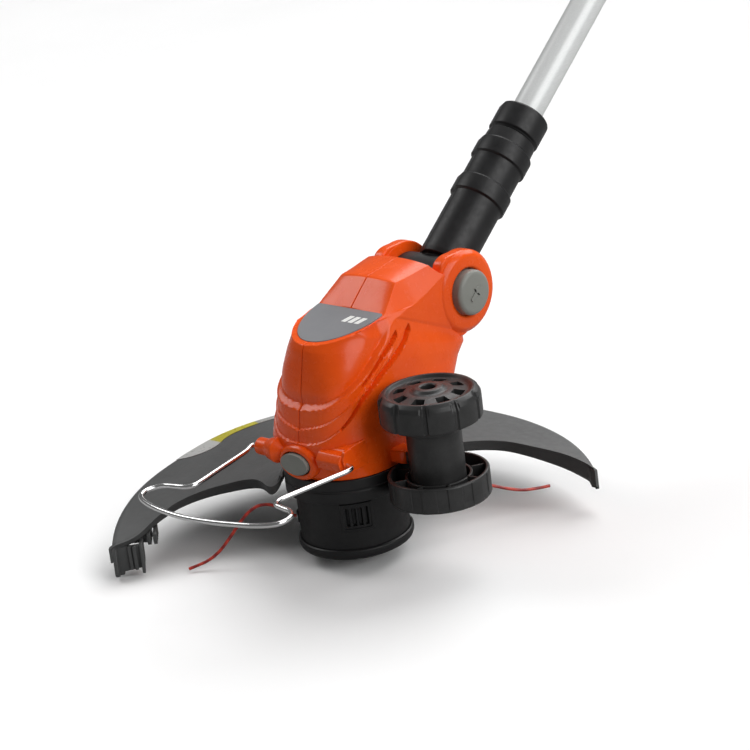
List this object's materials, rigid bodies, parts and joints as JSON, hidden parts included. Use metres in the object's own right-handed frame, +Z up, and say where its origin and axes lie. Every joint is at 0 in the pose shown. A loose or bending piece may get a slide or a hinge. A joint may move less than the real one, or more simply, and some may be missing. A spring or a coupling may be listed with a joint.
{
  "type": "string trimmer",
  "caption": "Cordless string trimmer with tilting motor head, line spool, debris guard, folding wire guard, edging wheels and a telescoping shaft with two handles.",
  "frame": {"origin": "centre of the bump knob's flat foot, on the spool's axis", "axes": "+Z up along the spool's axis, -Y towards the front of the tool and its wire guard, +Y towards the shaft and the user, +X the side with the edging wheels"},
  "size_m": [0.3112, 1.2505, 0.9328],
  "materials": {
    "orange_abs": "moulded ABS, satin gloss",
    "black_nylon": "glass-filled nylon, fine grain",
    "charcoal_polypropylene": "moulded polypropylene, satin",
    "grey_abs": "moulded ABS, fine grain",
    "steel": "zinc-plated steel",
    "plated_wire": "bright nickel plating",
    "aluminium_tube": "satin anodised",
    "red_nylon_line": "extruded nylon",
    "circuit_board": "solder mask",
    "brass_contacts": "brass"
  },
  "bodies": {
    "handle": {"upper_tube": "aluminium_tube", "tube_clamp": "black_nylon", "clamp_bolt": "steel", "aux_bracket": "black_nylon", "aux_bolt": "steel", "aux_knob": "black_nylon", "handle_left": "orange_abs", "handle_right": "orange_abs", "handle_screw_1": "steel", "handle_screw_2": "steel", "handle_screw_3": "steel", "power_switch": "black_nylon", "control_board": "circuit_board", "battery_terminals": "brass_contacts"},
    "clamp_lever": {"clamp_lever": "black_nylon"},
    "front_handle": {"aux_handle": "black_nylon"},
    "trigger": {"trigger": "black_nylon"},
    "lock_off": {"lock_off_button": "black_nylon"},
    "battery": {"battery_case": "black_nylon", "battery_cells": "charcoal_polypropylene"},
    "battery_latch": {"battery_latch": "grey_abs"},
    "lower_tube": {"lower_tube": "aluminium_tube"},
    "sleeve": {"shaft_sleeve": "black_nylon", "sleeve_collar": "black_nylon"},
    "head": {"housing_left": "orange_abs", "housing_right": "orange_abs", "top_panel": "grey_abs", "base_ring": "black_nylon", "debris_guard": "charcoal_polypropylene", "line_cutter": "steel", "motor_can": "steel", "motor_brush_cap": "black_nylon", "shaft_bearing": "steel", "wheel_post": "black_nylon", "wheel_axle": "steel", "housing_screw_1": "steel", "housing_screw_2": "steel", "housing_screw_3": "steel", "housing_screw_4": "steel", "guard_screw_1": "steel", "guard_screw_2": "steel", "guard_screw_3": "steel"},
    "tilt_button_left": {"tilt_button_left": "grey_abs"},
    "tilt_button_right": {"tilt_button_right": "grey_abs"},
    "front_button": {"front_button": "grey_abs"},
    "wire_guard": {"wire_guard": "plated_wire"},
    "wheel_upper": {"edge_wheel_upper": "black_nylon"},
    "wheel_lower": {"edge_wheel_lower": "black_nylon"},
    "spool": {"spool_housing": "black_nylon", "spool_cap": "black_nylon", "drive_hub": "steel", "drive_shaft": "steel", "line_eyelet_1": "steel", "line_eyelet_2": "steel", "bump_spring": "steel", "cutting_line_left": "red_nylon_line", "cutting_line_right": "red_nylon_line"},
    "bobbin": {"bump_knob": "black_nylon", "line_bobbin": "black_nylon", "wound_line": "red_nylon_line"}
  },
  "joints": [
    {"name": "telescope", "type": "slide", "parent": "handle", "child": "lower_tube", "axis": [0, 0.7912, 0.6115], "range_m": [-0.05, 0.12]},
    {"name": "shaft_twist", "type": "hinge", "parent": "lower_tube", "child": "sleeve", "pos_m": [0, 0.113, 0.175], "axis": [0, 0.7912, 0.6115], "range_deg": [0, 180]},
    {"name": "head_tilt", "type": "hinge", "parent": "sleeve", "child": "head", "pos_m": [0, 0.113, 0.175], "axis": [1, 0, 0], "range_deg": [-50, 30]},
    {"name": "tilt_button_left_press", "type": "slide", "parent": "head", "child": "tilt_button_left", "axis": [1, 0, 0], "range_m": [0, 0.004], "stiffness_N_per_m": 1200},
    {"name": "tilt_button_right_press", "type": "slide", "parent": "head", "child": "tilt_button_right", "axis": [-1, 0, 0], "range_m": [0, 0.004], "stiffness_N_per_m": 1200},
    {"name": "front_button_press", "type": "slide", "parent": "head", "child": "front_button", "axis": [0, 1, 0], "range_m": [0, 0.003], "stiffness_N_per_m": 1000},
    {"name": "wire_guard_fold", "type": "hinge", "parent": "head", "child": "wire_guard", "pos_m": [0, -0.046, 0.095], "axis": [1, 0, 0], "range_deg": [-85, 10]},
    {"name": "wheel_upper_roll", "type": "hinge", "parent": "head", "child": "wheel_upper", "pos_m": [0.0855, 0.0077, 0], "axis": [0, 0, 1], "continuous": true},
    {"name": "wheel_lower_roll", "type": "hinge", "parent": "head", "child": "wheel_lower", "pos_m": [0.0855, 0.0077, 0], "axis": [0, 0, 1], "continuous": true},
    {"name": "spool_spin", "type": "hinge", "parent": "head", "child": "spool", "pos_m": [0, 0, 0.03], "axis": [0, 0, 1], "continuous": true},
    {"name": "bump", "type": "slide", "parent": "spool", "child": "bobbin", "axis": [0, 0, 1], "range_m": [0, 0.0035], "stiffness_N_per_m": 1500, "deforming": ["bump_spring"]},
    {"name": "clamp_lever_open", "type": "hinge", "parent": "handle", "child": "clamp_lever", "pos_m": [0, 0.52102, 0.52195], "axis": [1, 0, 0], "range_deg": [0, 100]},
    {"name": "front_handle_tilt", "type": "hinge", "parent": "handle", "child": "front_handle", "pos_m": [0, 0.67437, 0.65058], "axis": [1, 0, 0], "range_deg": [-35, 35]},
    {"name": "trigger_pull", "type": "hinge", "parent": "handle", "child": "trigger", "pos_m": [0, 0.90023, 0.77207], "axis": [-1, 0, 0], "range_deg": [0, 10], "stiffness_Nm_per_rad": 0.6},
    {"name": "lock_off_press", "type": "slide", "parent": "handle", "child": "lock_off", "axis": [-1, 0, 0], "range_m": [0, 0.004], "stiffness_N_per_m": 500},
    {"name": "battery_release", "type": "slide", "parent": "handle", "child": "battery", "axis": [0, 0.7912, 0.6115], "range_m": [0, 0.05]},
    {"name": "battery_latch_press", "type": "slide", "parent": "battery", "child": "battery_latch", "axis": [0, 0.6115, -0.7912], "range_m": [0, 0.003], "stiffness_N_per_m": 800}
  ]
}
